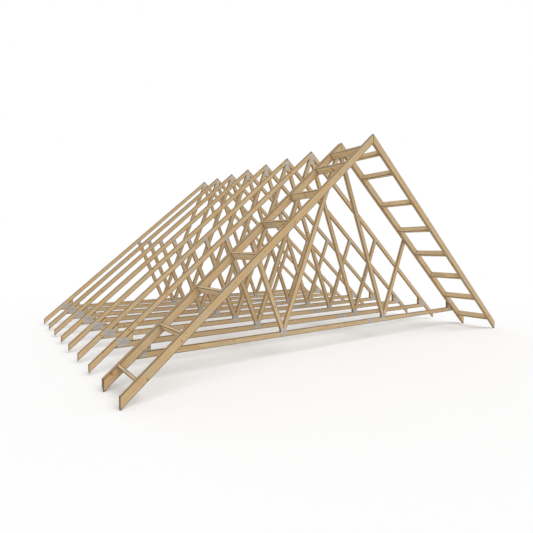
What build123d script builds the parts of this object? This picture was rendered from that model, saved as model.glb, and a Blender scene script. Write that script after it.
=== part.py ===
from build123d import *
import os
from math import cos, radians, sin, tan

# A duopitch roof of nailed-plate trusses with a ladder at its gable, all in millimetres and degrees.
# X runs across the span, Y from the gable into the roof, Z up.
# The origin is the middle of the gable truss's underside, on the level of the wall plates.

# Setting out of the roof
span = 6250.0
pitch = 40.0
eaves_overhang = 290.0
truss_count = 8
truss_spacing = 600.0

# Timber sections
timber_thickness = 35.0
rafter_depth = 72.0
tie_depth = 72.0
web_depth = 72.0
eased_edge = 2.0

# Heel wedge, from the tip of the tie to the wedge's upright end
heel_wedge_reach = 225.0

# Splice of the two lengths of a tie, to the right of the middle
splice_offset = 720.0

# Gable ladder
ladder_width = 600.0
ladder_depth = 97.0
rung_thickness = 35.0
rung_spacing = 600.0
rungs_on_each_slope = 8
lowest_rung_from_tail = 200.0
top_rung_from_ridge = 286.0

# Punched metal nail plates: width by height, as they lie on the face of a truss
plate_thickness = 1.0
heel_plate_width = 150.0
heel_plate_height = 104.0
heel_plate_setback = 33.0
heel_plate_rise = 16.0
web_foot_plate_width = 95.0
web_foot_plate_height = 102.0
web_foot_plate_rise = 17.0
web_head_plate_width = 50.0
web_head_plate_height = 92.0
apex_plate_width = 66.0
apex_plate_height = 170.0
apex_plate_drop = 41.0
splice_plate_width = 164.0
splice_plate_height = 62.0

# Places that follow from the sizes above, as points (x, z) in the plane of a truss
LEFT, RIGHT = -1, 1
slope = radians(pitch)
tie_tip = span / 2
tail = tie_tip + eaves_overhang
ridge_under = tie_tip * tan(slope)
ridge_top = ridge_under + rafter_depth / cos(slope)
web_foot = span / 6
web_head = span / 4
rafter_length = tail / cos(slope)

# Stock left on a board before its ends are cut, in board depths
end_allowance = 3.0

# Gaps across the depth of the roof
ladder_back = -timber_thickness / 2 - plate_thickness
ladder_front = ladder_back - ladder_width
inner_rafter_y = ladder_back - timber_thickness / 2
outer_rafter_y = ladder_front + timber_thickness / 2


def truss_y(index):
    """Middle plane of a truss, counted from the gable truss at 0."""
    return index * truss_spacing


def under_rafter(x):
    """Height of the underside of the truss rafters above x."""
    return ridge_under - abs(x) * tan(slope)


def inward(side):
    """Direction square to a roof slope, into the roof."""
    return Vector(-side * sin(slope), 0, -cos(slope))


def down_slope(side):
    """Direction down a roof slope."""
    return Vector(side * cos(slope), 0, -sin(slope))


def eased_section(depth, thickness):
    """Cross-section of a planed board with its four edges eased."""
    section = Rectangle(depth, thickness)
    return chamfer(section.vertices(), eased_edge)


def board(start, end, depth, y):
    """Board on the centre line from start to end in a truss's plane, overlong for its end cuts."""
    along = Vector(end[0] - start[0], 0, end[1] - start[1])
    across = Vector(-along.Z, 0, along.X)
    spare = end_allowance * depth
    origin = Vector(start[0], y, start[1]) - along.normalized() * spare
    plane = Plane(origin=origin, x_dir=across, z_dir=along)
    return extrude(plane * eased_section(depth, timber_thickness), amount=along.length + 2 * spare)


def saw(piece, point, waste):
    """Cuts a piece along a plane through point (x, z), on the side that the waste direction points to."""
    plane = Plane(origin=(point[0], 0, point[1]), z_dir=waste)
    return split(piece, bisect_by=plane, keep=Keep.BOTTOM)


def saw_plumb(piece, x, waste_side):
    """Upright cut at x, with the waste to the left or the right."""
    return saw(piece, (x, 0), Vector(waste_side, 0, 0))


def saw_under_rafter(piece, side):
    """Bevel along the underside of the truss rafter on one side."""
    return saw(piece, (side * tie_tip, 0), inward(side) * -1)


def saw_on_tie(piece):
    """Level cut on the top of the tie."""
    return saw(piece, (0, tie_depth), Vector(0, 0, -1))


def rafter(side, depth, y):
    """Rafter with its top edge on the roof plane, cut plumb at the ridge and at the tail."""
    sink = inward(side) * (depth / 2)
    head = (sink.X, ridge_top + sink.Z)
    foot = (side * tail + sink.X, ridge_top - tail * tan(slope) + sink.Z)
    piece = board(head, foot, depth, y)
    piece = saw_plumb(piece, 0, -side)
    return saw_plumb(piece, side * tail, side)


def tie_length(side, y):
    """One of the two lengths of a tie, scarfed under its rafter and butted at the splice."""
    piece = board((side * tie_tip, tie_depth / 2), (splice_offset, tie_depth / 2), tie_depth, y)
    piece = saw_under_rafter(piece, side)
    return saw_plumb(piece, splice_offset, -side)


def inner_web(side, y):
    """Long web from the tie to the ridge, bevelled both ways at each end."""
    piece = board((side * web_foot, tie_depth), (0, ridge_under), web_depth, y)
    piece = saw_on_tie(piece)
    piece = saw_plumb(piece, side * web_foot, side)
    piece = saw_under_rafter(piece, side)
    return saw_plumb(piece, 0, -side)


def outer_web(side, y):
    """Short web from the tie to the middle of the rafter."""
    head = (side * web_head, under_rafter(web_head))
    piece = board((side * web_foot, tie_depth), head, web_depth, y)
    piece = saw_on_tie(piece)
    piece = saw_plumb(piece, side * web_foot, -side)
    return saw_under_rafter(piece, side)


def heel_wedge(side, y):
    """Triangular block that fills the angle between the tie and the rafter."""
    toe = tie_tip - tie_depth / tan(slope)
    end = tie_tip - heel_wedge_reach
    corners = [(side * toe, tie_depth), (side * end, tie_depth), (side * end, under_rafter(end))]
    plane = Plane(origin=(0, y, 0), x_dir=(1, 0, 0), z_dir=(0, -1, 0))
    return extrude(plane * Polygon(*corners, align=None), amount=timber_thickness / 2, both=True)


def plate_pair(width, height, centre, y, lean=Vector(0, 0, 1)):
    """Two nail plates opposite each other on the faces of a truss, their height along lean."""
    pair = []
    for face in (LEFT, RIGHT):
        outward = Vector(0, face, 0)
        origin = Vector(centre[0], y, centre[1]) + outward * (timber_thickness / 2)
        plane = Plane(origin=origin, x_dir=lean.cross(outward), z_dir=outward)
        pair.append(extrude(plane * Rectangle(width, height), amount=plate_thickness))
    return pair


def nail_plates(y):
    """All the nail plates of one truss: heels, web feet, web heads, apex and splice."""
    plates = []
    heel_x = tie_tip - heel_plate_setback - heel_plate_width / 2
    heel_z = heel_plate_rise + heel_plate_height / 2
    foot_z = web_foot_plate_rise + web_foot_plate_height / 2
    head_z = under_rafter(web_head)
    for side in (LEFT, RIGHT):
        web_lean = Vector(side * (web_head - web_foot), 0, head_z - tie_depth).normalized()
        plates += plate_pair(heel_plate_width, heel_plate_height, (side * heel_x, heel_z), y)
        plates += plate_pair(web_foot_plate_width, web_foot_plate_height, (side * web_foot, foot_z), y)
        plates += plate_pair(web_head_plate_width, web_head_plate_height, (side * web_head, head_z), y, web_lean)
    apex_z = ridge_top - apex_plate_drop - apex_plate_height / 2
    plates += plate_pair(apex_plate_width, apex_plate_height, (0, apex_z), y)
    plates += plate_pair(splice_plate_width, splice_plate_height, (splice_offset, tie_depth / 2), y)
    return plates


def rung(side, from_ridge):
    """Rung between the two ladder rafters, its wide faces square to the slope."""
    centre = Vector(0, 0, ridge_top) + down_slope(side) * from_ridge + inward(side) * (ladder_depth / 2)
    front = ladder_front + timber_thickness
    back = ladder_back - timber_thickness
    plane = Plane(origin=centre + Vector(0, front, 0), x_dir=inward(side), z_dir=(0, 1, 0))
    return extrude(plane * eased_section(ladder_depth, rung_thickness), amount=back - front)


def rungs(side):
    """Rungs of one slope: an even row set out from the tail, and a last one under the ridge."""
    lowest = rafter_length - lowest_rung_from_tail
    places = [lowest - step * rung_spacing for step in range(rungs_on_each_slope - 1)]
    places.append(top_rung_from_ridge)
    return [rung(side, place) for place in places]


def write(node, pieces):
    """Writes one node, a single solid or a group of separate ones."""
    shape = pieces[0] if len(pieces) == 1 else Compound(children=pieces)
    export_step(shape, f"parts/{node}.step")


def write_gable_truss():
    """The truss at the gable, every timber in a node of its own."""
    y = truss_y(0)
    for side, name in ((LEFT, "left"), (RIGHT, "right")):
        write(f"gable_truss_rafter_{name}", [rafter(side, rafter_depth, y)])
        write(f"gable_truss_tie_{name}", [tie_length(side, y)])
        write(f"gable_truss_inner_web_{name}", [inner_web(side, y)])
        write(f"gable_truss_outer_web_{name}", [outer_web(side, y)])
        write(f"gable_truss_heel_wedge_{name}", [heel_wedge(side, y)])
    write("gable_truss_nail_plates", nail_plates(y))


def write_common_truss(index):
    """One of the trusses behind the gable, its like timbers grouped."""
    y = truss_y(index)
    name = f"truss_{index + 1}"
    both = (LEFT, RIGHT)
    write(f"{name}_rafter_left", [rafter(LEFT, rafter_depth, y)])
    write(f"{name}_rafter_right", [rafter(RIGHT, rafter_depth, y)])
    write(f"{name}_tie", [tie_length(side, y) for side in both])
    write(f"{name}_webs", [web(side, y) for web in (outer_web, inner_web) for side in both])
    write(f"{name}_heel_wedges", [heel_wedge(side, y) for side in both])
    write(f"{name}_nail_plates", nail_plates(y))


def write_ladder():
    """The gable ladder: an inner and an outer pair of rafters with rungs between them."""
    for side, name in ((LEFT, "left"), (RIGHT, "right")):
        write(f"ladder_inner_rafter_{name}", [rafter(side, ladder_depth, inner_rafter_y)])
        write(f"ladder_outer_rafter_{name}", [rafter(side, ladder_depth, outer_rafter_y)])
        write(f"ladder_rungs_{name}", rungs(side))


os.makedirs("parts", exist_ok=True)
write_ladder()
write_gable_truss()
for truss_index in range(1, truss_count):
    write_common_truss(truss_index)
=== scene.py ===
import math
import random

import bmesh
import bpy
from mathutils import Matrix, Vector


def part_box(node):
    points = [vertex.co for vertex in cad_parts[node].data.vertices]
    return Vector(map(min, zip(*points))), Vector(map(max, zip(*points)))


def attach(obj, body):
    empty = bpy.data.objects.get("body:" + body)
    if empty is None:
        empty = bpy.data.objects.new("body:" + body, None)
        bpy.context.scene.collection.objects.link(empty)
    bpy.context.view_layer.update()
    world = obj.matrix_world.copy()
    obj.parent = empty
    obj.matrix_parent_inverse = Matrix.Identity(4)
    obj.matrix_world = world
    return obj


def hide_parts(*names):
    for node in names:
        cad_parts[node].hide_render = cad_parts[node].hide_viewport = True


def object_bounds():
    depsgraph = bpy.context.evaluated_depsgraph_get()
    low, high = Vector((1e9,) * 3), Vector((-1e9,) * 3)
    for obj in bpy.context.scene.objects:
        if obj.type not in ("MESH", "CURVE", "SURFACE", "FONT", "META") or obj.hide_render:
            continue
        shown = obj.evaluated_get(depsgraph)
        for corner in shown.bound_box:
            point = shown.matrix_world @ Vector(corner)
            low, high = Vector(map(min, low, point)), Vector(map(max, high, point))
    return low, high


# Look of a trussed rafter roof with a gable ladder: pine timbers, punched nail plates, nails, stage.
# Lengths are in metres.

bl_info = {
    "name": "Trussed rafter roof",
    "version": (1, 0, 0),
    "blender": (4, 5, 0),
    "location": "3D View > Sidebar > Roof",
    "description": "Dresses a roof frame of nailed-plate trusses and its gable ladder",
    "category": "Object",
}

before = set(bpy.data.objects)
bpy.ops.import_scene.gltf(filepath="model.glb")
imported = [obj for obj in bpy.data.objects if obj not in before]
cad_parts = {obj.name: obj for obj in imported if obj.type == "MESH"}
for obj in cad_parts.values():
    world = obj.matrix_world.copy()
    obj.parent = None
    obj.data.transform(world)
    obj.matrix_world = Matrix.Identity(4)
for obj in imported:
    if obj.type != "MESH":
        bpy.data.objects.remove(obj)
CAD_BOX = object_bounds()

BODY = "root"
TRUSS_COUNT = 8
SIDES = ("left", "right")
PLATE_THICKNESS = 0.001
EASED_EDGE = 0.002
TURN = 2 * math.pi
WHITE = (1.0, 1.0, 1.0, 1.0)

# Corners nearer than this are one corner, and faces that turn less than this are one face
SAME_PLACE = 0.00002
SAME_WAY = math.radians(0.2)

# Seeds of the draws that give each timber its place in a log and its tone
OUTER_RAFTER_SEEDS = {"left": 11, "right": 29}
INNER_RAFTER_SEEDS = {"left": 21, "right": 22}
RUNG_SEED = 2000
RAFTER_SEED = 3000
TIE_SEED = 4000
WEB_SEED = 5000
WEDGE_SEED = 6000

# Seeds of the rungs where they are only measured, and of the nail heads' turns
MEASURED_SEED = 5
NAIL_SEED = 3


def linear(red, green, blue):
    """Linear colour of a display colour given in steps of 255."""
    shown = [value / 255 for value in (red, green, blue)]
    return tuple(v / 12.92 if v < 0.04045 else ((v + 0.055) / 1.055) ** 2.4 for v in shown)


# Sizes and colours that a user may change


def length(name, description, default):
    """Property for a length in metres."""
    return bpy.props.FloatProperty(
        name=name, description=description, default=default, unit="LENGTH", precision=5,
    )


def share(name, description, default):
    """Property for a factor from 0 to 1."""
    return bpy.props.FloatProperty(
        name=name, description=description, default=default, min=0, max=1, subtype="FACTOR",
    )


def colour(name, description, default):
    """Property for a colour."""
    return bpy.props.FloatVectorProperty(
        name=name, description=description, default=default, size=3, min=0, max=1, subtype="COLOR",
    )


def power(name, description, default):
    """Property for the strength of a light."""
    return bpy.props.FloatProperty(name=name, description=description, default=default, min=0)


def angle(name, description, degrees):
    """Property for an angle, its default given in degrees."""
    return bpy.props.FloatProperty(
        name=name, description=description, default=math.radians(degrees), subtype="ANGLE",
    )


class TimberSettings(bpy.types.PropertyGroup):
    """Planed pine, as sawn round the heart of the log."""
    earlywood: colour("Earlywood", "Pale part of a growth ring", linear(197, 171, 130))
    latewood: colour("Latewood", "Dark part of a growth ring", linear(159, 129, 88))
    # Paler than the earlywood partly in the rungs' own tone and partly as painted light against the
    # shade on their faces
    rung_wood_and_painted_light: colour("Rung wood", "Pale part of a ring in the rungs", linear(213, 189, 146))
    weathered: colour("Weathered streak", "Grey streak along the grain", linear(177, 163, 140))
    resinous: colour("Resinous streak", "Warm streak along the grain", linear(193, 150, 99))
    knot: colour("Knot", "Heart of a knot", linear(160, 110, 56))
    knot_rim: colour("Knot rim", "Bark line round a knot", linear(98, 68, 40))
    ring_width: length("Ring width", "Mean width of a growth ring", 0.0042)
    knot_spacing: length("Knot spacing", "Distance along the log from one whorl to the next", 0.19)
    knot_radius: length("Knot radius", "Radius of a branch near the heart", 0.0050)
    # Painted shade: a dark line along every eased edge and along the edges at the sawn cuts, where the
    # planed timber is no darker
    arris_width: length("Arris width", "Reach of the darker line along an eased edge", 0.010)
    arris_shade: share("Arris shade", "How much darker the eased edges are", 0.85)
    # Sawn ends are darker partly for their end grain and partly as painted shade
    end_grain_and_painted_shade: share("End shade", "How much darker the sawn ends are", 0.55)
    tone_spread: share("Tone spread", "How much the boards differ in brightness", 0.06)


class PlateSettings(bpy.types.PropertyGroup):
    """Galvanised plates with rows of punched slots."""
    zinc: colour("Zinc", "Colour of the galvanised sheet", linear(195, 192, 189))
    dull_zinc: colour("Dull zinc", "Colour of the darker spangles", linear(159, 155, 152))
    slot_length: length("Slot length", "Length of a punched slot at the sheet's face", 0.0125)
    slot_width: length("Slot width", "Width of a punched slot", 0.0030)
    column_pitch: length("Column pitch", "Distance from slot to slot along a row", 0.0210)
    row_pitch: length("Row pitch", "Distance from row to row", 0.0066)
    tooth_root: length("Tooth root", "Length of the bend where a tooth leaves the sheet", 0.0020)


class NailSettings(bpy.types.PropertyGroup):
    """Nails through the ladder's rafters."""
    head_diameter: length("Head diameter", "Diameter of a nail head", 0.0072)
    head_height: length("Head height", "Height of a nail head", 0.0006)
    dent_diameter: length("Dent diameter", "Diameter of the dent round a driven nail", 0.0088)
    dent_depth: length("Dent depth", "Depth of the dent", 0.0009)
    spread: length("Spread", "Distance between the two nails of a rung", 0.046)
    steel: colour("Steel", "Colour of the nail heads", linear(128, 126, 124))


class StageSettings(bpy.types.PropertyGroup):
    """Floor and lights."""
    floor: colour("Floor", "Colour of the floor", linear(244, 244, 244))
    floor_size: length("Floor size", "Side of the square floor", 120.0)
    clear_from: length("Clear from", "Distance from the middle where the floor starts to whiten", 4.2)
    clear_to: length("Clear to", "Distance from the middle where the floor is white", 8.0)
    bounce: share("Bounce", "How much of its light the floor throws back at the roof", 0.96)
    key_strength: power("Key", "Strength of the soft key lamp", 1.80)
    key_softness: angle("Key softness", "Angle that the key lamp covers", 50)
    fill_strength: power("Fill", "Strength of the light from all round", 0.65)


# Node trees


class Wire:
    """A socket of a node tree. Arithmetic on it adds Math nodes."""

    def __init__(self, graph, socket):
        self.graph = graph
        self.socket = socket

    def out(self, name):
        """Another output of the same node, by its name or its number."""
        return Wire(self.graph, self.socket.node.outputs[name])

    def calculate(self, operation, *values):
        """Math node on this value and others."""
        inputs = dict(enumerate((self, *values)))
        return self.graph.add("ShaderNodeMath", {"operation": operation}, inputs)

    def __add__(self, other):
        return self.calculate("ADD", other)

    def __radd__(self, other):
        return self.calculate("ADD", other)

    def __sub__(self, other):
        return self.calculate("SUBTRACT", other)

    def __rsub__(self, other):
        return self.graph.add("ShaderNodeMath", {"operation": "SUBTRACT"}, {0: other, 1: self})

    def __mul__(self, other):
        return self.calculate("MULTIPLY", other)

    def __rmul__(self, other):
        return self.calculate("MULTIPLY", other)

    def __truediv__(self, other):
        return self.calculate("DIVIDE", other)

    def __rtruediv__(self, other):
        return self.graph.add("ShaderNodeMath", {"operation": "DIVIDE"}, {0: other, 1: self})

    def __pow__(self, other):
        return self.calculate("POWER", other)

    def __abs__(self):
        return self.calculate("ABSOLUTE")

    def floor(self):
        """Whole part."""
        return self.calculate("FLOOR")

    def fraction(self):
        """Part after the point."""
        return self.calculate("FRACT")

    def odd(self):
        """1 where a whole number is odd, else 0."""
        return self.calculate("FLOORED_MODULO", 2.0)

    def least(self, other):
        """The smaller of two values."""
        return self.calculate("MINIMUM", other)

    def most(self, other):
        """The larger of two values."""
        return self.calculate("MAXIMUM", other)

    def above(self, other):
        """1 where the value is above the other, else 0."""
        return self.calculate("GREATER_THAN", other)

    def below(self, other):
        """1 where the value is below the other, else 0."""
        return self.calculate("LESS_THAN", other)

    def rise(self, low, high):
        """0 up to low, 1 from high, smooth between."""
        return self.graph.add(
            "ShaderNodeMapRange",
            {"interpolation_type": "SMOOTHSTEP"},
            {"Value": self, "From Min": low, "From Max": high},
        )

    def parts(self):
        """The three parts of a vector."""
        split = self.graph.add("ShaderNodeSeparateXYZ", {}, {"Vector": self})
        return split, split.out("Y"), split.out("Z")


class Graph:
    """A node tree with one method that adds a node."""

    def __init__(self, tree):
        self.tree = tree

    def add(self, kind, settings, sockets):
        """Adds a node of a type, with its settings and its sockets' values or links.

        Gives the node's first output, or None where it has none. A list links several to one socket.
        """
        node = self.tree.nodes.new(kind)
        for name, value in settings.items():
            setattr(node, name, value)
        for name, value in sockets.items():
            for item in value if isinstance(value, list) else [value]:
                if isinstance(item, Wire):
                    self.tree.links.new(item.socket, node.inputs[name])
                else:
                    node.inputs[name].default_value = item
        return Wire(self, node.outputs[0]) if len(node.outputs) else None

    def vector(self, x, y, z):
        """Vector of three values."""
        return self.add("ShaderNodeCombineXYZ", {}, {"X": x, "Y": y, "Z": z})

    def blend(self, factor, first, second):
        """Colour between two colours. Inputs 6 and 7 and output 2 are a Mix node's colours."""
        sockets = {0: factor, 6: self.solid(first), 7: self.solid(second)}
        return self.add("ShaderNodeMix", {"data_type": "RGBA"}, sockets).out(2)

    def solid(self, tint):
        """A colour with its alpha, or the wire as it is."""
        return tint if isinstance(tint, Wire) else (*tint, 1.0)

    def dim(self, tint, factor):
        """Colour times a value."""
        return self.add("ShaderNodeVectorMath", {"operation": "SCALE"}, {0: tint, "Scale": factor})

    def noise(self, vector, scale, detail=2.0):
        """Soft noise from 0 to 1."""
        return self.add("ShaderNodeTexNoise", {}, {"Vector": vector, "Scale": scale, "Detail": detail})

    def stretched(self, place, scales, detail=2.0, shifts=()):
        """Noise with a scale for each of three ways, and shifts as pairs of a way and a value."""
        where = [part * scale for part, scale in zip(place, scales)]
        for way, shift in shifts:
            where[way] = where[way] + shift
        return self.noise(self.vector(*where), 1.0, detail)

    def place(self):
        """Place on the object, in metres."""
        return self.add("ShaderNodeTexCoord", {}, {}).out("Object")

    def stored(self, name):
        """Vector kept on the mesh under a name."""
        return self.add("ShaderNodeAttribute", {"attribute_name": name}, {}).out("Vector")

    def bump(self, height, strength, distance):
        """Normal that follows a height over the surface."""
        return self.add("ShaderNodeBump", {}, {
            "Strength": strength, "Distance": distance, "Height": height,
        })

    def surface(self, shader):
        """Joins a shader to the material's output."""
        self.add("ShaderNodeOutputMaterial", {}, {"Surface": shader})


def new_material(name):
    """Empty node material, with its graph."""
    material = bpy.data.materials.new(name)
    material.use_nodes = True
    material.node_tree.nodes.clear()
    return material, Graph(material.node_tree)


# Pine

# How growth rings leave true cylinders: the log's taper, a slow wander, a ripple, swelling at knots
LOG_TAPER = 0.004
RING_WANDER = 0.022
RING_RIPPLE = 0.0012
KNOT_SWELLING = 0.011

# How late in a ring the wood darkens, and where that ends
LATEWOOD_CURVE = 2.6
LATEWOOD_END = 0.93

# Rows of whorls of branches: how much wider spaced each is than the last, and the part of a
# spacing kept clear at its ends. The keys give every board and every row draws of its own.
WHORL_STRETCH = 0.37
WHORL_MARGIN = 0.2
TONE_KEY = 97.0
ROW_KEY = 7.3

# A branch: its smallest size and the spread of sizes in knot radii, how it widens outwards, and
# the distance from the heart over which it comes in
SMALLEST_KNOT = 0.4
KNOT_SPREAD = 1.5
BRANCH_TAPER = 0.055
PITH = 0.004

# Its edge, its rim and the bent rings round it, in radii of the branch
KNOT_EDGE = (0.85, 1.05)
RIM_WIDTH = 0.22
BENT_RINGS = (0.6, 4.2)

# Ways in a log: along it and across it. The third is through it.
ALONG, ACROSS = 0, 1

# Scales of the noises in each way, and how far a board's tone shifts its streaks
WANDER_SCALES = (0.9, 5.0, 5.0)
RIPPLE_SCALES = (6.0, 40.0, 40.0)
FIBRE_SCALES = (9.0, 900.0, 900.0)
WEATHERED_SCALES = (3.6, 30.0, 30.0)
WEATHERED_SHIFT = 31.0
RESINOUS_SCALES = (4.4, 24.0, 24.0)
RESINOUS_SHIFT = 17.0
# Scales of the noise that varies how far the painted shade line reaches along a board
SHADE_LINE_SCALES = (7.0, 30.0, 30.0)

# How much of each colour shows, and over which stretch of the noise a streak comes in
LATEWOOD_SHARE = 0.85
WEATHERED_SHARE = 0.80
WEATHERED_RANGE = (0.46, 0.68)
RESINOUS_SHARE = 0.65
RESINOUS_RANGE = (0.46, 0.70)
KNOT_HALO_SHARE = 0.6
KNOT_HALO_RANGE = (0.2, 1.0)
RIM_SHARE = 0.8
RIM_COVER = 0.75
FIBRE_CONTRAST = 0.14

# How far the painted shade line reaches from an edge: its least and its spread along the board, in
# arris widths, and its part of that at a cut
LEAST_REACH = 0.75
REACH_SPREAD = 0.5
CUT_REACH = 0.8

# How high fibres, latewood and knots stand against each other
FIBRE_RELIEF = 0.35
LATEWOOD_RELIEF = 0.5
KNOT_RELIEF = 0.8

# Roughness of planed earlywood, what latewood takes off it and what a sawn end adds
PLANED_ROUGHNESS = 0.66
LATEWOOD_POLISH = 0.10
SAWN_ROUGHNESS = 0.2


def knot_layer(graph, timber, place, layer, tone):
    """One row of whorls: how far a point is in a knot or its rim, and how much the rings bend there."""
    along, across, through = place
    spacing = timber.knot_spacing * (1.0 + WHORL_STRETCH * layer)
    cell = (along / spacing).floor()
    key = graph.vector(cell, tone * TONE_KEY, layer * ROW_KEY)
    draws = graph.add("ShaderNodeTexWhiteNoise", {}, {"Vector": key}).out("Color")
    first, second, third = draws.parts()
    turn = second * TURN
    cosine = turn.calculate("COSINE")
    sine = turn.calculate("SINE")
    outward = across * cosine + through * sine
    sideways = through * cosine - across * sine
    lengthways = along - (cell + WHORL_MARGIN + first * (1.0 - 2 * WHORL_MARGIN)) * spacing
    girth = SMALLEST_KNOT + third * third * KNOT_SPREAD
    radius = timber.knot_radius * girth + outward.most(0.0) * BRANCH_TAPER
    distance = (lengthways * lengthways + sideways * sideways) ** 0.5 / radius
    branch = outward.rise(0.0, PITH)
    inside = (1.0 - distance.rise(*KNOT_EDGE)) * branch
    rim = (1.0 - abs(distance - 1.0).rise(0.0, RIM_WIDTH)) * branch
    bend = (1.0 - distance.rise(*BENT_RINGS)) * branch
    return inside, rim, bend


def pine_colours(graph, timber, pale, place, tone):
    """Colour, latewood and relief of planed pine at a place in the log."""
    along, across, through = place
    layers = [knot_layer(graph, timber, place, layer, tone) for layer in (1.0, 2.0)]
    inside, rim, bend = (one.most(other) for one, other in zip(*layers))
    wander = graph.stretched(place, WANDER_SCALES)
    ripple = graph.stretched(place, RIPPLE_SCALES)
    fibre = graph.stretched(place, FIBRE_SCALES)
    weathering = graph.stretched(place, WEATHERED_SCALES, 3.0, [(ALONG, tone * WEATHERED_SHIFT)])
    resin = graph.stretched(place, RESINOUS_SCALES, 3.0, [(ACROSS, tone * RESINOUS_SHIFT)])
    from_heart = (across * across + through * through) ** 0.5
    grown = from_heart + along * LOG_TAPER + wander * RING_WANDER + ripple * RING_RIPPLE
    grown = grown + bend * bend * KNOT_SWELLING
    ring = (grown / timber.ring_width).fraction()
    late = ring ** LATEWOOD_CURVE * (1.0 - ring.rise(LATEWOOD_END, 1.0))
    wood = graph.blend(late * LATEWOOD_SHARE, pale, timber.latewood)
    wood = graph.blend(weathering.rise(*WEATHERED_RANGE) * WEATHERED_SHARE, wood, timber.weathered)
    wood = graph.blend(resin.rise(*RESINOUS_RANGE) * RESINOUS_SHARE, wood, timber.resinous)
    wood = graph.dim(wood, 1.0 - FIBRE_CONTRAST / 2 + fibre * FIBRE_CONTRAST)
    wood = graph.blend(bend.rise(*KNOT_HALO_RANGE) * KNOT_HALO_SHARE, wood, timber.resinous)
    heart = graph.blend(rim * RIM_SHARE, timber.knot, timber.knot_rim)
    wood = graph.blend(inside.most(rim * RIM_COVER), wood, heart)
    relief = fibre * FIBRE_RELIEF + late * LATEWOOD_RELIEF + inside * KNOT_RELIEF
    return wood, late, relief


def pine_material(name, timber, pale):
    """Planed pine with rings, streaks and knots. Its sawn ends are darker, partly as painted shade, and
    painted shade lies along its eased edges and at its cuts.
    """
    material, graph = new_material(name)
    place = graph.stored("grain").parts()
    beside, above, _ = graph.stored("section").parts()
    half_depth, half_thickness, tone = graph.stored("board").parts()
    sawn = graph.stored("sawn").parts()[0]
    wood, late, relief = pine_colours(graph, timber, pale, place, tone)
    from_edge = (half_depth - abs(beside)) + (half_thickness - abs(above))
    first, second, _ = graph.stored("start_cuts").parts()
    third, fourth, _ = graph.stored("end_cuts").parts()
    from_cut = first.least(second).least(third).least(fourth)
    # Painted shade: a dark line along the eased edges and along the edges at the cuts, its reach
    # wandering along the board
    shade_line_wander = graph.stretched(place, SHADE_LINE_SCALES, 3.0)
    reach = timber.arris_width * (LEAST_REACH + shade_line_wander * REACH_SPREAD)
    cut_edge = (1.0 - from_cut.rise(EASED_EDGE / 2, reach * CUT_REACH)) * (1.0 - sawn)
    arris = (1.0 - from_edge.rise(EASED_EDGE, reach)).most(cut_edge)
    # Sawn ends are darkened partly for their end grain and partly as painted shade
    shade = (1.0 - arris * timber.arris_shade) * (1.0 - sawn * timber.end_grain_and_painted_shade)
    brightness = 1.0 + (tone - 0.5) * (2 * timber.tone_spread)
    graph.surface(graph.add("ShaderNodeBsdfPrincipled", {}, {
        "Base Color": graph.dim(wood, shade * brightness),
        "Roughness": PLANED_ROUGHNESS - late * LATEWOOD_POLISH + sawn * SAWN_ROUGHNESS,
        "Specular IOR Level": 0.2,
        "Normal": graph.bump(relief, 0.35, 0.0006),
    }))
    return material


# Timbers, taken board by board from the solids

# Where the log's heart may lie from a board's middle, beside it and above or below it
HEART_BESIDE = 0.055
HEART_ABOVE = (0.020, 0.060)

# Length of the log that boards start in
LOG_LENGTH = 40

# A face is sawn across its board if its direction leans at least this much along the board
LEAN_OF_A_CUT = 0.1

# Cuts that are kept for each end of a board, and the depth below one that it doesn't have
CUTS_KEPT = 3
NO_CUT = 1.0

# What is kept at each point of a board, for the pine to read
MARKS = ("grain", "section", "board", "start_cuts", "end_cuts")


class Board:
    """Place, directions and half sizes of one sawn board."""

    def __init__(self, faces, draw):
        vertices = {vertex for face in faces for vertex in face.verts}
        edges = {edge for face in faces for edge in face.edges}
        longest = max(edges, key=lambda edge: edge.calc_length())
        self.along = edge_way(longest)
        if self.along.x + self.along.y < 0:
            self.along = -self.along
        sides = [face for face in faces if not self.crosses(face)]
        widest = max(sides, key=lambda face: face.calc_area())
        self.through = widest.normal.normalized()
        self.across = self.through.cross(self.along)
        self.start, _ = self.reach(vertices, self.along)
        low, depth = self.reach(vertices, self.across)
        near, thickness = self.reach(vertices, self.through)
        self.half = (depth / 2, thickness / 2)
        self.middle = (low + depth / 2, near + thickness / 2)
        cuts = [face for face in faces if self.crosses(face)]
        self.start_cuts = [plane(face) for face in cuts if face.normal.dot(self.along) < 0]
        self.end_cuts = [plane(face) for face in cuts if face.normal.dot(self.along) > 0]
        beside = draw.uniform(-HEART_BESIDE, HEART_BESIDE)
        above = draw.choice((-1, 1)) * draw.uniform(*HEART_ABOVE)
        self.heart = (beside, above)
        self.log = draw.uniform(0, LOG_LENGTH)
        self.tone = draw.random()

    def reach(self, vertices, direction):
        """Lowest place of the board along a direction, and its extent."""
        places = [vertex.co.dot(direction) for vertex in vertices]
        return min(places), max(places) - min(places)

    def crosses(self, face):
        """Whether a face is sawn across the board."""
        return abs(face.normal.dot(self.along)) > LEAN_OF_A_CUT

    def section(self, point):
        """Place of a point in the board's cross-section, from its middle."""
        return point.dot(self.across) - self.middle[0], point.dot(self.through) - self.middle[1]

    def grain(self, point):
        """Place of a point in the log: along it, and from its heart."""
        beside, above = self.section(point)
        along = point.dot(self.along) - self.start + self.log
        return along, beside - self.heart[0], above - self.heart[1]

    def marks(self, point):
        """What the pine reads at a point, in the order of MARKS."""
        return (
            self.grain(point),
            (*self.section(point), 0.0),
            (*self.half, self.tone),
            below(self.start_cuts, point),
            below(self.end_cuts, point),
        )


def edge_way(edge):
    """Direction of an edge."""
    return (edge.verts[1].co - edge.verts[0].co).normalized()


def plane(face):
    """Outward direction of a face, and its place along it."""
    return face.normal.copy(), face.normal.dot(face.verts[0].co)


def below(planes, point):
    """Depths of a point below up to three planes, far below where there are fewer."""
    depths = [place - direction.dot(point) for direction, place in planes]
    return depths + [NO_CUT] * (CUTS_KEPT - len(depths))


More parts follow.
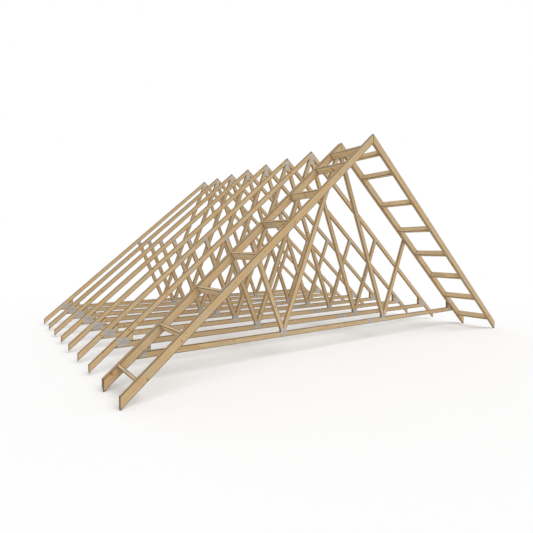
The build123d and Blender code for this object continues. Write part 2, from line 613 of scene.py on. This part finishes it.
def solids(node):
    """The separate solids of a node, each with its triangles joined up.

    The triangles come solid by solid, and a solid is whole once every edge has met its partner.
    """
    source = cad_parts[node].data
    found = []
    unmet = set()
    part = bmesh.new()
    for triangle in source.polygons:
        corners = [tuple(source.vertices[index].co) for index in triangle.vertices]
        part.faces.new([part.verts.new(corner) for corner in corners])
        for start, end in zip(corners, corners[1:] + corners[:1]):
            if (end, start) in unmet:
                unmet.remove((end, start))
            else:
                unmet.add((start, end))
        if not unmet:
            bmesh.ops.remove_doubles(part, verts=part.verts, dist=SAME_PLACE)
            bmesh.ops.dissolve_limit(part, angle_limit=SAME_WAY, verts=part.verts, edges=part.edges)
            found.append(part)
            part = bmesh.new()
    part.free()
    return found


def finished(mesh, name, material, slot, *nodes):
    """Turns an edited mesh into a piece that rides with the roof and stands for its nodes."""
    data = bpy.data.meshes.new(name)
    mesh.to_mesh(data)
    mesh.free()
    return placed(data, name, material, slot, *nodes)


def placed(data, name, material, slot, *nodes):
    """Piece of a finished mesh."""
    piece = bpy.data.objects.new(name, data)
    bpy.context.scene.collection.objects.link(piece)
    data.materials.clear()
    data.materials.append(material)
    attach(piece, BODY)
    if nodes:
        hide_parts(*nodes)
    return piece


def mark_board(mesh, board):
    """Keeps each point's place in its log and its board, and which faces are sawn across."""
    points = mesh.verts.layers.float_vector
    for name in MARKS:
        points.new(name)
    layers = [points[name] for name in MARKS]
    sawn = mesh.faces.layers.float_vector.new("sawn")
    for face in mesh.faces:
        face[sawn] = [1.0 if board.crosses(face) else 0.0] * 3
    for vertex in mesh.verts:
        for layer, value in zip(layers, board.marks(vertex.co)):
            vertex[layer] = value


def gather(whole, part):
    """Adds one mesh to another, and frees it."""
    data = bpy.data.meshes.new("part")
    part.to_mesh(data)
    part.free()
    whole.from_mesh(data)
    bpy.data.meshes.remove(data)


def dress_timbers(node, material, slot, seed):
    """Pine boards in the place of one node."""
    draw = random.Random(seed)
    whole = bmesh.new()
    for solid in solids(node):
        mark_board(solid, Board(solid.faces, draw))
        gather(whole, solid)
    finished(whole, node + "_pine", material, slot, node)


def truss_nodes(gable_names, common_names):
    """Names of the nodes of every truss, from the gable to the rear."""
    found = [f"gable_truss_{name}" for name in gable_names]
    for number in range(2, TRUSS_COUNT + 1):
        found += [f"truss_{number}_{name}" for name in common_names]
    return found


def both(name):
    """Left and right names of a piece."""
    return [f"{name}_{side}" for side in SIDES]


def pine_for(context, name):
    """Pine of one kind, made on first use."""
    timber = context.scene.roof_timber
    # The rungs take a lighter copy of the pine, partly as painted light
    pale = timber.rung_wood_and_painted_light if name == "Rung pine with painted light" else timber.earlywood
    return bpy.data.materials.get(name) or pine_material(name, timber, tuple(pale))


def dress_all(context, nodes, pine, slot, seed):
    """Pine boards in the place of several nodes, each with a seed of its own."""
    material = pine_for(context, pine)
    for number, node in enumerate(nodes):
        dress_timbers(node, material, slot, seed + number)


# Geometry node trees


def shape_tree(name, inputs):
    """Geometry node tree with named inputs of given types. Gives it, its graph and its inputs."""
    tree = bpy.data.node_groups.new(name, "GeometryNodeTree")
    tree.is_modifier = True
    for label, kind in inputs.items():
        tree.interface.new_socket(label, in_out="INPUT", socket_type=f"NodeSocket{kind}")
    tree.interface.new_socket("Geometry", in_out="OUTPUT", socket_type="NodeSocketGeometry")
    graph = Graph(tree)
    return tree, graph, graph.add("NodeGroupInput", {}, {})


def end_tree(graph, geometry, material):
    """Ends a tree in real geometry with its material."""
    real = graph.add("GeometryNodeRealizeInstances", {}, {"Geometry": geometry})
    coated = graph.add("GeometryNodeSetMaterial", {}, {"Geometry": real, "Material": material})
    graph.add("NodeGroupOutput", {}, {"Geometry": coated})


def evaluated(data, tree, values):
    """Plain mesh that a tree makes from a start mesh, with its inputs given by name."""
    maker = bpy.data.objects.new("maker", data)
    bpy.context.scene.collection.objects.link(maker)
    modifier = maker.modifiers.new("Shape", "NODES")
    modifier.node_group = tree
    for item in tree.interface.items_tree:
        if item.item_type == "SOCKET" and item.in_out == "INPUT" and item.name in values:
            modifier[item.identifier] = values[item.name]
    bpy.context.view_layer.update()
    shown = maker.evaluated_get(bpy.context.evaluated_depsgraph_get())
    result = bpy.data.meshes.new_from_object(shown)
    maker.modifiers.remove(modifier)
    bpy.data.objects.remove(maker)
    return result


# Nail plates

# How far every other row is shifted, in steps from slot to slot
STAGGER = 0.5

# Rim left whole at a plate's sides, and at its top and bottom in slot widths
SIDE_RIM = 0.0022
END_RIM = 0.7

# Decimals that are kept of a plate's size, so that like plates share a sheet
SIZE_DECIMALS = 5

# Scales of the sheet's spangles and clouds, and of its rolling marks in X, Y and Z
SPANGLE_SCALE = 190.0
CLOUD_SCALE = 24.0
ROLLING_SCALES = (5.0, 5.0, 75.0)

# How much spangles and clouds dull the sheet beside the marks, and between which sums it dulls
SPANGLE_SHARE = 0.35
CLOUD_SHARE = 0.15
DULL_RANGE = (0.45, 1.05)


def slots_that_fit(size, pitch, opening, margin):
    """Number of slots along a size."""
    return ((size - margin * 2 - opening) / pitch).floor() + 1.0


def slot_place(line, size, count, opening, margin):
    """Where a grid line falls along a size. Slots start at odd lines.

    Then come the step from slot to slot, the line's slot, 1 where the line is its far side, and 1
    where the line is an inner one.
    """
    step = (size - margin * 2 - opening) / (count - 1.0).most(1.0)
    slot = ((line - 1.0) / 2.0).floor()
    far_side = (line - 1.0) - slot * 2.0
    place = margin + slot * step + far_side * opening
    first_line = line.below(0.5)
    last_line = line.above(count * 2.0 + 0.5)
    inner = (1.0 - first_line) * (1.0 - last_line)
    return place * inner + last_line * size, step, slot, far_side, inner


def grid_line(value, lines):
    """Number of the grid line at a raw grid coordinate. The quarter is against rounding."""
    return (value + (lines - 1.0) / 2.0 + 0.25).floor()


def punched_tree():
    """Geometry nodes for a sheet with staggered rows of punched slots, its size from its inputs."""
    lengths = (
        "Width", "Height", "Thickness", "Slot length", "Slot width", "Column pitch", "Row pitch",
        "Tooth root",
    )
    inputs = {name: "Float" for name in lengths}
    tree, graph, given = shape_tree("Punched sheet", {**inputs, "Material": "Material"})
    width, height, thickness, slot_length, slot_width, column_pitch, row_pitch, root = (
        given.out(name) for name in lengths
    )
    side_margin = column_pitch * (STAGGER / 2) + SIDE_RIM
    end_margin = slot_width * END_RIM
    columns = slots_that_fit(width, column_pitch, slot_length, side_margin)
    rows = slots_that_fit(height, row_pitch, slot_width, end_margin)
    lines_x = columns * 2.0 + 2.0
    lines_y = rows * 2.0 + 2.0
    grid = graph.add("GeometryNodeMeshGrid", {}, {
        "Size X": lines_x - 1.0, "Size Y": lines_y - 1.0, "Vertices X": lines_x, "Vertices Y": lines_y,
    })
    raw_x, raw_y, _ = graph.add("GeometryNodeInputPosition", {}, {}).parts()
    odd_x = grid_line(raw_x - 0.5, lines_x).odd()
    odd_y = grid_line(raw_y - 0.5, lines_y).odd()
    sheet = graph.add("GeometryNodeDeleteGeometry", {"domain": "FACE"}, {
        "Geometry": grid, "Selection": odd_x.above(0.5) * odd_y.above(0.5),
    })
    line_x = grid_line(raw_x, lines_x)
    line_y = grid_line(raw_y, lines_y)
    place_x, step, _, far_x, inner_x = slot_place(line_x, width, columns, slot_length, side_margin)
    place_y, _, row, _, inner_y = slot_place(line_y, height, rows, slot_width, end_margin)
    stagger = (row.odd() - 0.5) * step * STAGGER * inner_x * inner_y
    end = (far_x * 2.0 - 1.0) * inner_x * inner_y
    kept = graph.add("GeometryNodeStoreNamedAttribute", {"data_type": "FLOAT", "domain": "POINT"}, {
        "Geometry": sheet, "Name": "slot_end", "Value": end,
    })
    under_x = place_x + stagger - width / 2.0 - end * root
    under = graph.add("GeometryNodeSetPosition", {}, {
        "Geometry": kept, "Position": graph.vector(under_x, place_y - height / 2.0, 0.0),
    })
    raised = graph.add("GeometryNodeExtrudeMesh", {"mode": "FACES"}, {
        "Mesh": under, "Offset": graph.vector(0.0, 0.0, thickness), "Offset Scale": 1.0,
        "Individual": False,
    })
    named = graph.add("GeometryNodeInputNamedAttribute", {"data_type": "FLOAT"}, {"Name": "slot_end"})
    opened = graph.add("GeometryNodeSetPosition", {}, {
        "Geometry": raised, "Selection": raised.out("Top"),
        "Offset": graph.vector(named * root, 0.0, 0.0),
    })
    back = graph.add("GeometryNodeFlipFaces", {}, {"Mesh": under})
    closed = graph.add("GeometryNodeJoinGeometry", {}, {"Geometry": [opened, back]})
    welded = graph.add("GeometryNodeMergeByDistance", {}, {"Geometry": closed, "Distance": SAME_PLACE})
    clean = graph.add("GeometryNodeRemoveAttribute", {}, {"Geometry": welded, "Name": "slot_end"})
    end_tree(graph, clean, given.out("Material"))
    return tree


def plate_places(node):
    """Each plate of a node: its frame, with the outward side along Z, its width and its height."""
    truss_middle = sum(corner.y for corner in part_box(node)) / 2
    found = []
    for plate in solids(node):
        middle = sum((vertex.co for vertex in plate.verts), Vector()) / len(plate.verts)
        outward = Vector((0, 1 if middle.y > truss_middle else -1, 0))
        front = max(plate.faces, key=lambda face: face.calc_area())
        steepest = max(front.edges, key=lambda edge: abs(edge_way(edge).z))
        flattest = min(front.edges, key=lambda edge: abs(edge_way(edge).z))
        upward = edge_way(steepest)
        upward *= 1 if upward.z > 0 else -1
        axes = Matrix((upward.cross(outward), upward, outward)).transposed().to_4x4()
        axes.translation = middle - outward * (PLATE_THICKNESS / 2)
        size = [round(edge.calc_length(), SIZE_DECIMALS) for edge in (flattest, steepest)]
        found.append((axes, *size))
        plate.free()
    return found


def zinc_material(name, plates):
    """Galvanised sheet with fine spangles, soft clouds and level rolling marks."""
    material, graph = new_material(name)
    where = graph.place()
    cells = graph.add("ShaderNodeTexVoronoi", {}, {"Vector": where, "Scale": SPANGLE_SCALE})
    spangle = cells.out("Color").parts()[0]
    cloud = graph.noise(where, CLOUD_SCALE, 3.0)
    rolling = graph.stretched(where.parts(), ROLLING_SCALES)
    dull = (spangle * SPANGLE_SHARE + cloud * CLOUD_SHARE + rolling).rise(*DULL_RANGE)
    graph.surface(graph.add("ShaderNodeBsdfPrincipled", {}, {
        "Base Color": graph.blend(dull, tuple(plates.zinc), tuple(plates.dull_zinc)),
        "Metallic": 0.55,
        "Roughness": 0.45 + spangle * 0.15,
        "Normal": graph.bump(cloud, 0.15, 0.0004),
    }))
    return material


# Nails

# Corners of a nail head and of its dent, and the head's diameter at its top against its foot
NAIL_CORNERS = 12
HEAD_TOP = 0.7

# Scale of the scuffs on the steel, and their brightness against it
SCUFF_SCALE = 900.0
SCUFF_SHADE = 0.6

# The two nails between a pair of rungs: across and along the rafter from their middle, in spreads
FIXING_NAILS = ((-0.05, 0.35), (0.55, -0.25))


def nail_tree():
    """Geometry nodes for a nail head at every point, facing out of the gable."""
    tree, graph, given = shape_tree("Nail heads", {
        "Geometry": "Geometry", "Head diameter": "Float", "Head height": "Float", "Seed": "Int",
        "Material": "Material",
    })
    radius = given.out("Head diameter") / 2.0
    head = graph.add("GeometryNodeMeshCone", {}, {
        "Vertices": NAIL_CORNERS, "Side Segments": 1, "Radius Top": radius * HEAD_TOP,
        "Radius Bottom": radius, "Depth": given.out("Head height"),
    })
    twist = graph.add("FunctionNodeRandomValue", {"data_type": "FLOAT"}, {
        2: 0.0, 3: TURN, "Seed": given.out("Seed"),
    }).out(1)
    points = graph.add("GeometryNodeInstanceOnPoints", {}, {
        "Points": given.out("Geometry"), "Instance": head,
        "Rotation": graph.vector(math.pi / 2, 0.0, 0.0),
    })
    turned = graph.add("GeometryNodeRotateInstances", {}, {
        "Instances": points, "Rotation": graph.vector(0.0, 0.0, twist), "Local Space": True,
    })
    end_tree(graph, turned, given.out("Material"))
    return tree


def steel_material(name, tint):
    """Zinc-coated nail steel."""
    material, graph = new_material(name)
    scuff = graph.noise(graph.place(), SCUFF_SCALE)
    graph.surface(graph.add("ShaderNodeBsdfPrincipled", {}, {
        "Base Color": graph.blend(scuff, tint, tuple(value * SCUFF_SHADE for value in tint)),
        "Metallic": 0.8,
        "Roughness": 0.35 + scuff * 0.2,
    }))
    return material


def rung_nails(side, spread):
    """Places of the two nails of each rung on the outer face of the ladder."""
    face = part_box(f"ladder_outer_rafter_{side}")[0].y
    found = []
    draw = random.Random(MEASURED_SEED)
    for solid in solids(f"ladder_rungs_{side}"):
        rung = Board(solid.faces, draw)
        middle = rung.across * rung.middle[0] + rung.through * rung.middle[1]
        for step in (-0.5, 0.5):
            place = middle + rung.across * (spread * step)
            found.append(Vector((place.x, face, place.z)))
        solid.free()
    return found


def fixing_nails(side, spread):
    """Places of the nails that hold the ladder to the gable truss, between the rungs."""
    places = rung_nails(side, spread)
    rungs = [(first + second) / 2 for first, second in zip(places[::2], places[1::2])]
    rungs.sort(key=lambda place: place.z)
    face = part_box(f"ladder_inner_rafter_{side}")[0].y
    found = []
    for low, high in zip(rungs, rungs[1:]):
        slope = (high - low).normalized()
        middle = low.lerp(high, 0.5)
        upward = slope.cross(Vector((0, 1, 0)))
        if upward.z < 0:
            upward = -upward
        for across, along in FIXING_NAILS:
            place = middle + upward * spread * across + slope * spread * along
            found.append(Vector((place.x, face, place.z)))
    return found


def dent_rafter(node, places, nails, material, seed):
    """Ladder rafter with a dent round every nail."""
    mesh = solids(node)[0]
    board = Board(mesh.faces, random.Random(seed))
    data = bpy.data.meshes.new("rafter")
    mesh.to_mesh(data)
    mesh.free()
    cutter = bmesh.new()
    radius = nails.dent_diameter / 2
    for place in places:
        turn = Matrix.Translation(place) @ Matrix.Rotation(math.pi / 2, 4, "X")
        bmesh.ops.create_cone(cutter, cap_ends=True, segments=NAIL_CORNERS, radius1=radius,
                              radius2=radius, depth=nails.dent_depth * 2, matrix=turn)
    cut_data = bpy.data.meshes.new("dents")
    cutter.to_mesh(cut_data)
    cutter.free()
    rafter = bpy.data.objects.new("rafter", data)
    dents = bpy.data.objects.new("dents", cut_data)
    for item in (rafter, dents):
        bpy.context.scene.collection.objects.link(item)
    boolean = rafter.modifiers.new("Dents", "BOOLEAN")
    boolean.operation = "DIFFERENCE"
    boolean.solver = "EXACT"
    boolean.object = dents
    bpy.context.view_layer.update()
    shown = rafter.evaluated_get(bpy.context.evaluated_depsgraph_get())
    result = bpy.data.meshes.new_from_object(shown)
    bpy.data.objects.remove(rafter)
    bpy.data.objects.remove(dents)
    cut = bmesh.new()
    cut.from_mesh(result)
    mark_board(cut, board)
    finished(cut, node + "_pine", material, "ladder_timber", node)


# Operators, one for each group of like pieces


class ROOF_OT_ladder_rafters(bpy.types.Operator):
    """Pine rafters of the ladder, dented round their nails"""
    bl_idname = "roof.ladder_rafters"
    bl_label = "Ladder rafters"

    def execute(self, context):
        nails = context.scene.roof_nails
        material = pine_for(context, "Ladder pine")
        for side in SIDES:
            outer = rung_nails(side, nails.spread)
            inner = fixing_nails(side, nails.spread)
            outer_seed = OUTER_RAFTER_SEEDS[side]
            inner_seed = INNER_RAFTER_SEEDS[side]
            dent_rafter(f"ladder_outer_rafter_{side}", outer, nails, material, outer_seed)
            dent_rafter(f"ladder_inner_rafter_{side}", inner, nails, material, inner_seed)
        return {"FINISHED"}


class ROOF_OT_ladder_rungs(bpy.types.Operator):
    """Pine rungs of the ladder"""
    bl_idname = "roof.ladder_rungs"
    bl_label = "Ladder rungs"

    def execute(self, context):
        dress_all(context, both("ladder_rungs"), "Rung pine with painted light", "rung_timber", RUNG_SEED)
        return {"FINISHED"}


class ROOF_OT_truss_rafters(bpy.types.Operator):
    """Pine rafters of the trusses"""
    bl_idname = "roof.truss_rafters"
    bl_label = "Truss rafters"

    def execute(self, context):
        names = truss_nodes(both("rafter"), both("rafter"))
        dress_all(context, names, "Truss pine", "truss_timber", RAFTER_SEED)
        return {"FINISHED"}


class ROOF_OT_ties(bpy.types.Operator):
    """Pine ties of the trusses"""
    bl_idname = "roof.ties"
    bl_label = "Ties"

    def execute(self, context):
        names = truss_nodes(both("tie"), ["tie"])
        dress_all(context, names, "Truss pine", "truss_timber", TIE_SEED)
        return {"FINISHED"}


class ROOF_OT_webs(bpy.types.Operator):
    """Pine webs of the trusses"""
    bl_idname = "roof.webs"
    bl_label = "Webs"

    def execute(self, context):
        names = truss_nodes(both("inner_web") + both("outer_web"), ["webs"])
        dress_all(context, names, "Truss pine", "truss_timber", WEB_SEED)
        return {"FINISHED"}


class ROOF_OT_heel_wedges(bpy.types.Operator):
    """Pine wedges in the heels"""
    bl_idname = "roof.heel_wedges"
    bl_label = "Heel wedges"

    def execute(self, context):
        names = truss_nodes(both("heel_wedge"), ["heel_wedges"])
        dress_all(context, names, "Truss pine", "truss_timber", WEDGE_SEED)
        return {"FINISHED"}


class ROOF_OT_nail_plates(bpy.types.Operator):
    """Punched nail plates on both faces of every truss"""
    bl_idname = "roof.nail_plates"
    bl_label = "Nail plates"

    def execute(self, context):
        plates = context.scene.roof_plates
        material = zinc_material("Galvanised sheet", plates)
        tree = punched_tree()
        sheets = {}
        for node in truss_nodes(["nail_plates"], ["nail_plates"]):
            mesh = bmesh.new()
            for axes, width, height in plate_places(node):
                if (width, height) not in sheets:
                    sheets[width, height] = evaluated(bpy.data.meshes.new("sheet"), tree, {
                        "Width": width, "Height": height, "Thickness": PLATE_THICKNESS,
                        "Slot length": plates.slot_length, "Slot width": plates.slot_width,
                        "Column pitch": plates.column_pitch, "Row pitch": plates.row_pitch,
                        "Tooth root": plates.tooth_root, "Material": material,
                    })
                start = len(mesh.verts)
                mesh.from_mesh(sheets[width, height])
                mesh.verts.ensure_lookup_table()
                bmesh.ops.transform(mesh, matrix=axes, verts=mesh.verts[start:])
            finished(mesh, node + "_punched", material, "nail_plate", node)
        return {"FINISHED"}


class ROOF_OT_nails(bpy.types.Operator):
    """Heads of the nails in the ladder's rafters"""
    bl_idname = "roof.nails"
    bl_label = "Nails"

    def execute(self, context):
        nails = context.scene.roof_nails
        places = []
        for side in SIDES:
            places += rung_nails(side, nails.spread) + fixing_nails(side, nails.spread)
        points = bpy.data.meshes.new("nail points")
        sunk = Vector((0, nails.dent_depth - nails.head_height / 2, 0))
        points.from_pydata([place + sunk for place in places], [], [])
        material = steel_material("Nail steel", tuple(nails.steel))
        heads = evaluated(points, nail_tree(), {
            "Head diameter": nails.head_diameter, "Head height": nails.head_height,
            "Seed": NAIL_SEED, "Material": material,
        })
        placed(heads, "ladder_nails", material, "nail_plate")
        return {"FINISHED"}


class ROOF_OT_stage(bpy.types.Operator):
    """Pale floor, soft light, white surroundings and the camera"""
    bl_idname = "roof.stage"
    bl_label = "Stage"

    def execute(self, context):
        stage = context.scene.roof_stage
        add_floor(stage)
        add_world(context, stage)
        add_key(stage)
        add_camera(context)
        context.scene.view_settings.view_transform = "Standard"
        return {"FINISHED"}


# Stage

# Way that the key lamp shines: from the front, above and a little to the right
KEY_WAY = Vector((-0.10, 0.62, -0.78))

# Camera: its heading from +Y towards +X and its dip below level in degrees, its lens in millimetres
CAMERA_PLACE = (-4.47679, -4.25966, 1.19966)
CAMERA_HEADING = 33.619
CAMERA_DIP = 2.409
CAMERA_LENS = 27.516
CAMERA_SHIFT = (0.03933, -0.00370)


def seen(graph):
    """1 for what the camera sees, straight, mirrored or through glass."""
    path = graph.add("ShaderNodeLightPath", {}, {})
    return path.most(path.out("Is Glossy Ray")).most(path.out("Is Transmission Ray"))


def add_floor(stage):
    """Floor that keeps the shadow of the roof and turns white further out."""
    half = stage.floor_size / 2
    low = CAD_BOX[0].z
    data = bpy.data.meshes.new("floor")
    corners = [(-half, -half, low), (half, -half, low), (half, half, low), (-half, half, low)]
    data.from_pydata(corners, [], [(0, 1, 2, 3)])
    floor = bpy.data.objects.new("floor", data)
    bpy.context.scene.collection.objects.link(floor)
    material, graph = new_material("Floor")
    across, deep, _ = graph.place().parts()
    middle = (CAD_BOX[0] + CAD_BOX[1]) / 2
    away = ((across - middle.x) ** 2.0 + (deep - middle.y) ** 2.0) ** 0.5
    shown = seen(graph)
    clear = away.rise(stage.clear_from, stage.clear_to) * shown
    thrown = tuple(value * stage.bounce for value in stage.floor)
    tint = graph.blend(shown, thrown, tuple(stage.floor))
    plain = graph.add("ShaderNodeBsdfDiffuse", {}, {"Color": tint})
    white = graph.add("ShaderNodeEmission", {}, {"Color": WHITE, "Strength": 1.0})
    graph.surface(graph.add("ShaderNodeMixShader", {}, {0: clear, 1: plain, 2: white}))
    data.materials.append(material)


def add_world(context, stage):
    """Soft light from all round, white where it is seen."""
    world = bpy.data.worlds.new("Surroundings")
    world.use_nodes = True
    world.node_tree.nodes.clear()
    graph = Graph(world.node_tree)
    light = graph.add("ShaderNodeBackground", {}, {"Color": WHITE, "Strength": stage.fill_strength})
    shown = graph.add("ShaderNodeBackground", {}, {"Color": WHITE, "Strength": 1.0})
    mixed = graph.add("ShaderNodeMixShader", {}, {0: seen(graph), 1: light, 2: shown})
    graph.add("ShaderNodeOutputWorld", {}, {"Surface": mixed})
    context.scene.world = world


def add_key(stage):
    """Wide soft lamp."""
    lamp = bpy.data.lights.new("key", "SUN")
    lamp.energy = stage.key_strength
    lamp.angle = stage.key_softness
    key = bpy.data.objects.new("key", lamp)
    bpy.context.scene.collection.objects.link(key)
    key.rotation_euler = KEY_WAY.to_track_quat("-Z", "Y").to_euler()


def add_camera(context):
    """Camera at the photograph's viewpoint."""
    lens = bpy.data.cameras.new("camera")
    lens.sensor_width = 36.0
    lens.lens = CAMERA_LENS
    lens.shift_x, lens.shift_y = CAMERA_SHIFT
    lens.clip_start = 0.05
    lens.clip_end = 400.0
    camera = bpy.data.objects.new("camera", lens)
    bpy.context.scene.collection.objects.link(camera)
    camera.location = CAMERA_PLACE
    camera.rotation_euler = (math.radians(90 - CAMERA_DIP), 0.0, math.radians(-CAMERA_HEADING))
    context.scene.camera = camera


# Panel and registration


class ROOF_PT_panel(bpy.types.Panel):
    """Lists the pieces of the roof"""
    bl_idname = "ROOF_PT_panel"
    bl_label = "Trussed rafter roof"
    bl_space_type = "VIEW_3D"
    bl_region_type = "UI"
    bl_category = "Roof"

    def draw(self, context):
        for operator in OPERATORS:
            self.layout.operator(operator.bl_idname)
        for _, name in SETTINGS:
            group = getattr(context.scene, name)
            for key in group.bl_rna.properties.keys():
                if key not in ("rna_type", "name"):
                    self.layout.prop(group, key)


OPERATORS = (
    ROOF_OT_ladder_rafters,
    ROOF_OT_ladder_rungs,
    ROOF_OT_truss_rafters,
    ROOF_OT_ties,
    ROOF_OT_webs,
    ROOF_OT_heel_wedges,
    ROOF_OT_nail_plates,
    ROOF_OT_nails,
    ROOF_OT_stage,
)
SETTINGS = (
    (TimberSettings, "roof_timber"),
    (PlateSettings, "roof_plates"),
    (NailSettings, "roof_nails"),
    (StageSettings, "roof_stage"),
)


def register():
    """Adds the settings, the operators and the panel."""
    for group, name in SETTINGS:
        bpy.utils.register_class(group)
        setattr(bpy.types.Scene, name, bpy.props.PointerProperty(type=group))
    for item in (*OPERATORS, ROOF_PT_panel):
        bpy.utils.register_class(item)


def unregister():
    """Takes them away again."""
    for item in (ROOF_PT_panel, *reversed(OPERATORS)):
        bpy.utils.unregister_class(item)
    for group, name in reversed(SETTINGS):
        delattr(bpy.types.Scene, name)
        bpy.utils.unregister_class(group)


def main():
    """Builds every piece."""
    register()
    for operator in OPERATORS:
        family, name = operator.bl_idname.split(".")
        getattr(getattr(bpy.ops, family), name)()


if __name__ == "__main__":
    main()
